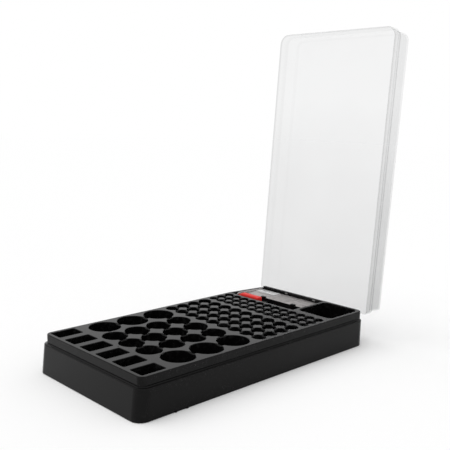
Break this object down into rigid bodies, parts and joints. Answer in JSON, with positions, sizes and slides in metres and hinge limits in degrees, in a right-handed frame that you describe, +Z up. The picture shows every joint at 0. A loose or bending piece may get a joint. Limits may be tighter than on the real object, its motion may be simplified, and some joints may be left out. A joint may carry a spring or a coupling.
{
  "type": "battery organizer case",
  "caption": "Shallow black storage tray with round and square wells for household cells, a small parts bin, a lift-out analogue cell tester and a hinged clear lid.",
  "frame": {"origin": "on the ground, under the middle of the deck", "axes": "+X to the right seen from the front, +Y to the hinge side, +Z up"},
  "size_m": [0.1748, 0.3994, 0.374],
  "materials": {
    "black_plastic": "satin",
    "clear_plastic": "gloss",
    "window_plastic": "gloss",
    "silver_plate": "satin",
    "dial_enamel": "matte",
    "plated_steel": "satin",
    "magnet": "matte",
    "brass": "satin",
    "coil_wire": "gloss",
    "spring_bronze": "satin",
    "needle_paint": "satin",
    "red_plastic": "gloss",
    "bright_contact": "polished",
    "resistor_body": "matte"
  },
  "bodies": {
    "tray": {"tray_shell": "black_plastic", "deck_bars": "black_plastic", "nine_volt_bank": "black_plastic", "d_bank": "black_plastic", "c_bank": "black_plastic", "aa_bank": "black_plastic", "aaa_bank": "black_plastic", "parts_bin": "black_plastic", "tester_bay": "black_plastic", "hinge_ears": "black_plastic", "hinge_pins": "black_plastic"},
    "lid_body": {"lid": "clear_plastic", "lid_clips": "clear_plastic"},
    "tester": {"tester_back": "black_plastic", "tester_body": "black_plastic", "face_plate": "silver_plate", "meter_window": "window_plastic", "dial_plate": "dial_enamel", "meter_yoke": "plated_steel", "meter_magnet": "magnet", "meter_bridge": "brass", "contact_rail": "brass", "fixed_contact": "bright_contact", "load_resistors": "resistor_body", "nine_volt_studs": "bright_contact", "case_screws": "plated_steel"},
    "movement": {"pivot_staff": "plated_steel", "moving_coil": "coil_wire", "hairspring": "spring_bronze", "needle": "needle_paint"},
    "jaw": {"slide_jaw": "red_plastic", "contact_block": "black_plastic", "jaw_contact": "bright_contact"}
  },
  "joints": [
    {"name": "lid_hinge", "type": "hinge", "parent": "tray", "child": "lid_body", "pos_m": [0, 0.1707, 0.034], "axis": [1, 0, 0], "range_deg": [0, 94.1]},
    {"name": "tester_lift", "type": "slide", "parent": "tray", "child": "tester", "axis": [0, 0, 1], "range_m": [0, 0.02]},
    {"name": "jaw_slide", "type": "slide", "parent": "tester", "child": "jaw", "axis": [1, 0, 0], "range_m": [-0.0047, 0.0508]},
    {"name": "needle_swing", "type": "hinge", "parent": "tester", "child": "movement", "pos_m": [-0.0584, 0.1438, 0.0345], "axis": [0, 0, -1], "range_deg": [0, 80], "stiffness_Nm_per_rad": 0.00002}
  ]
}
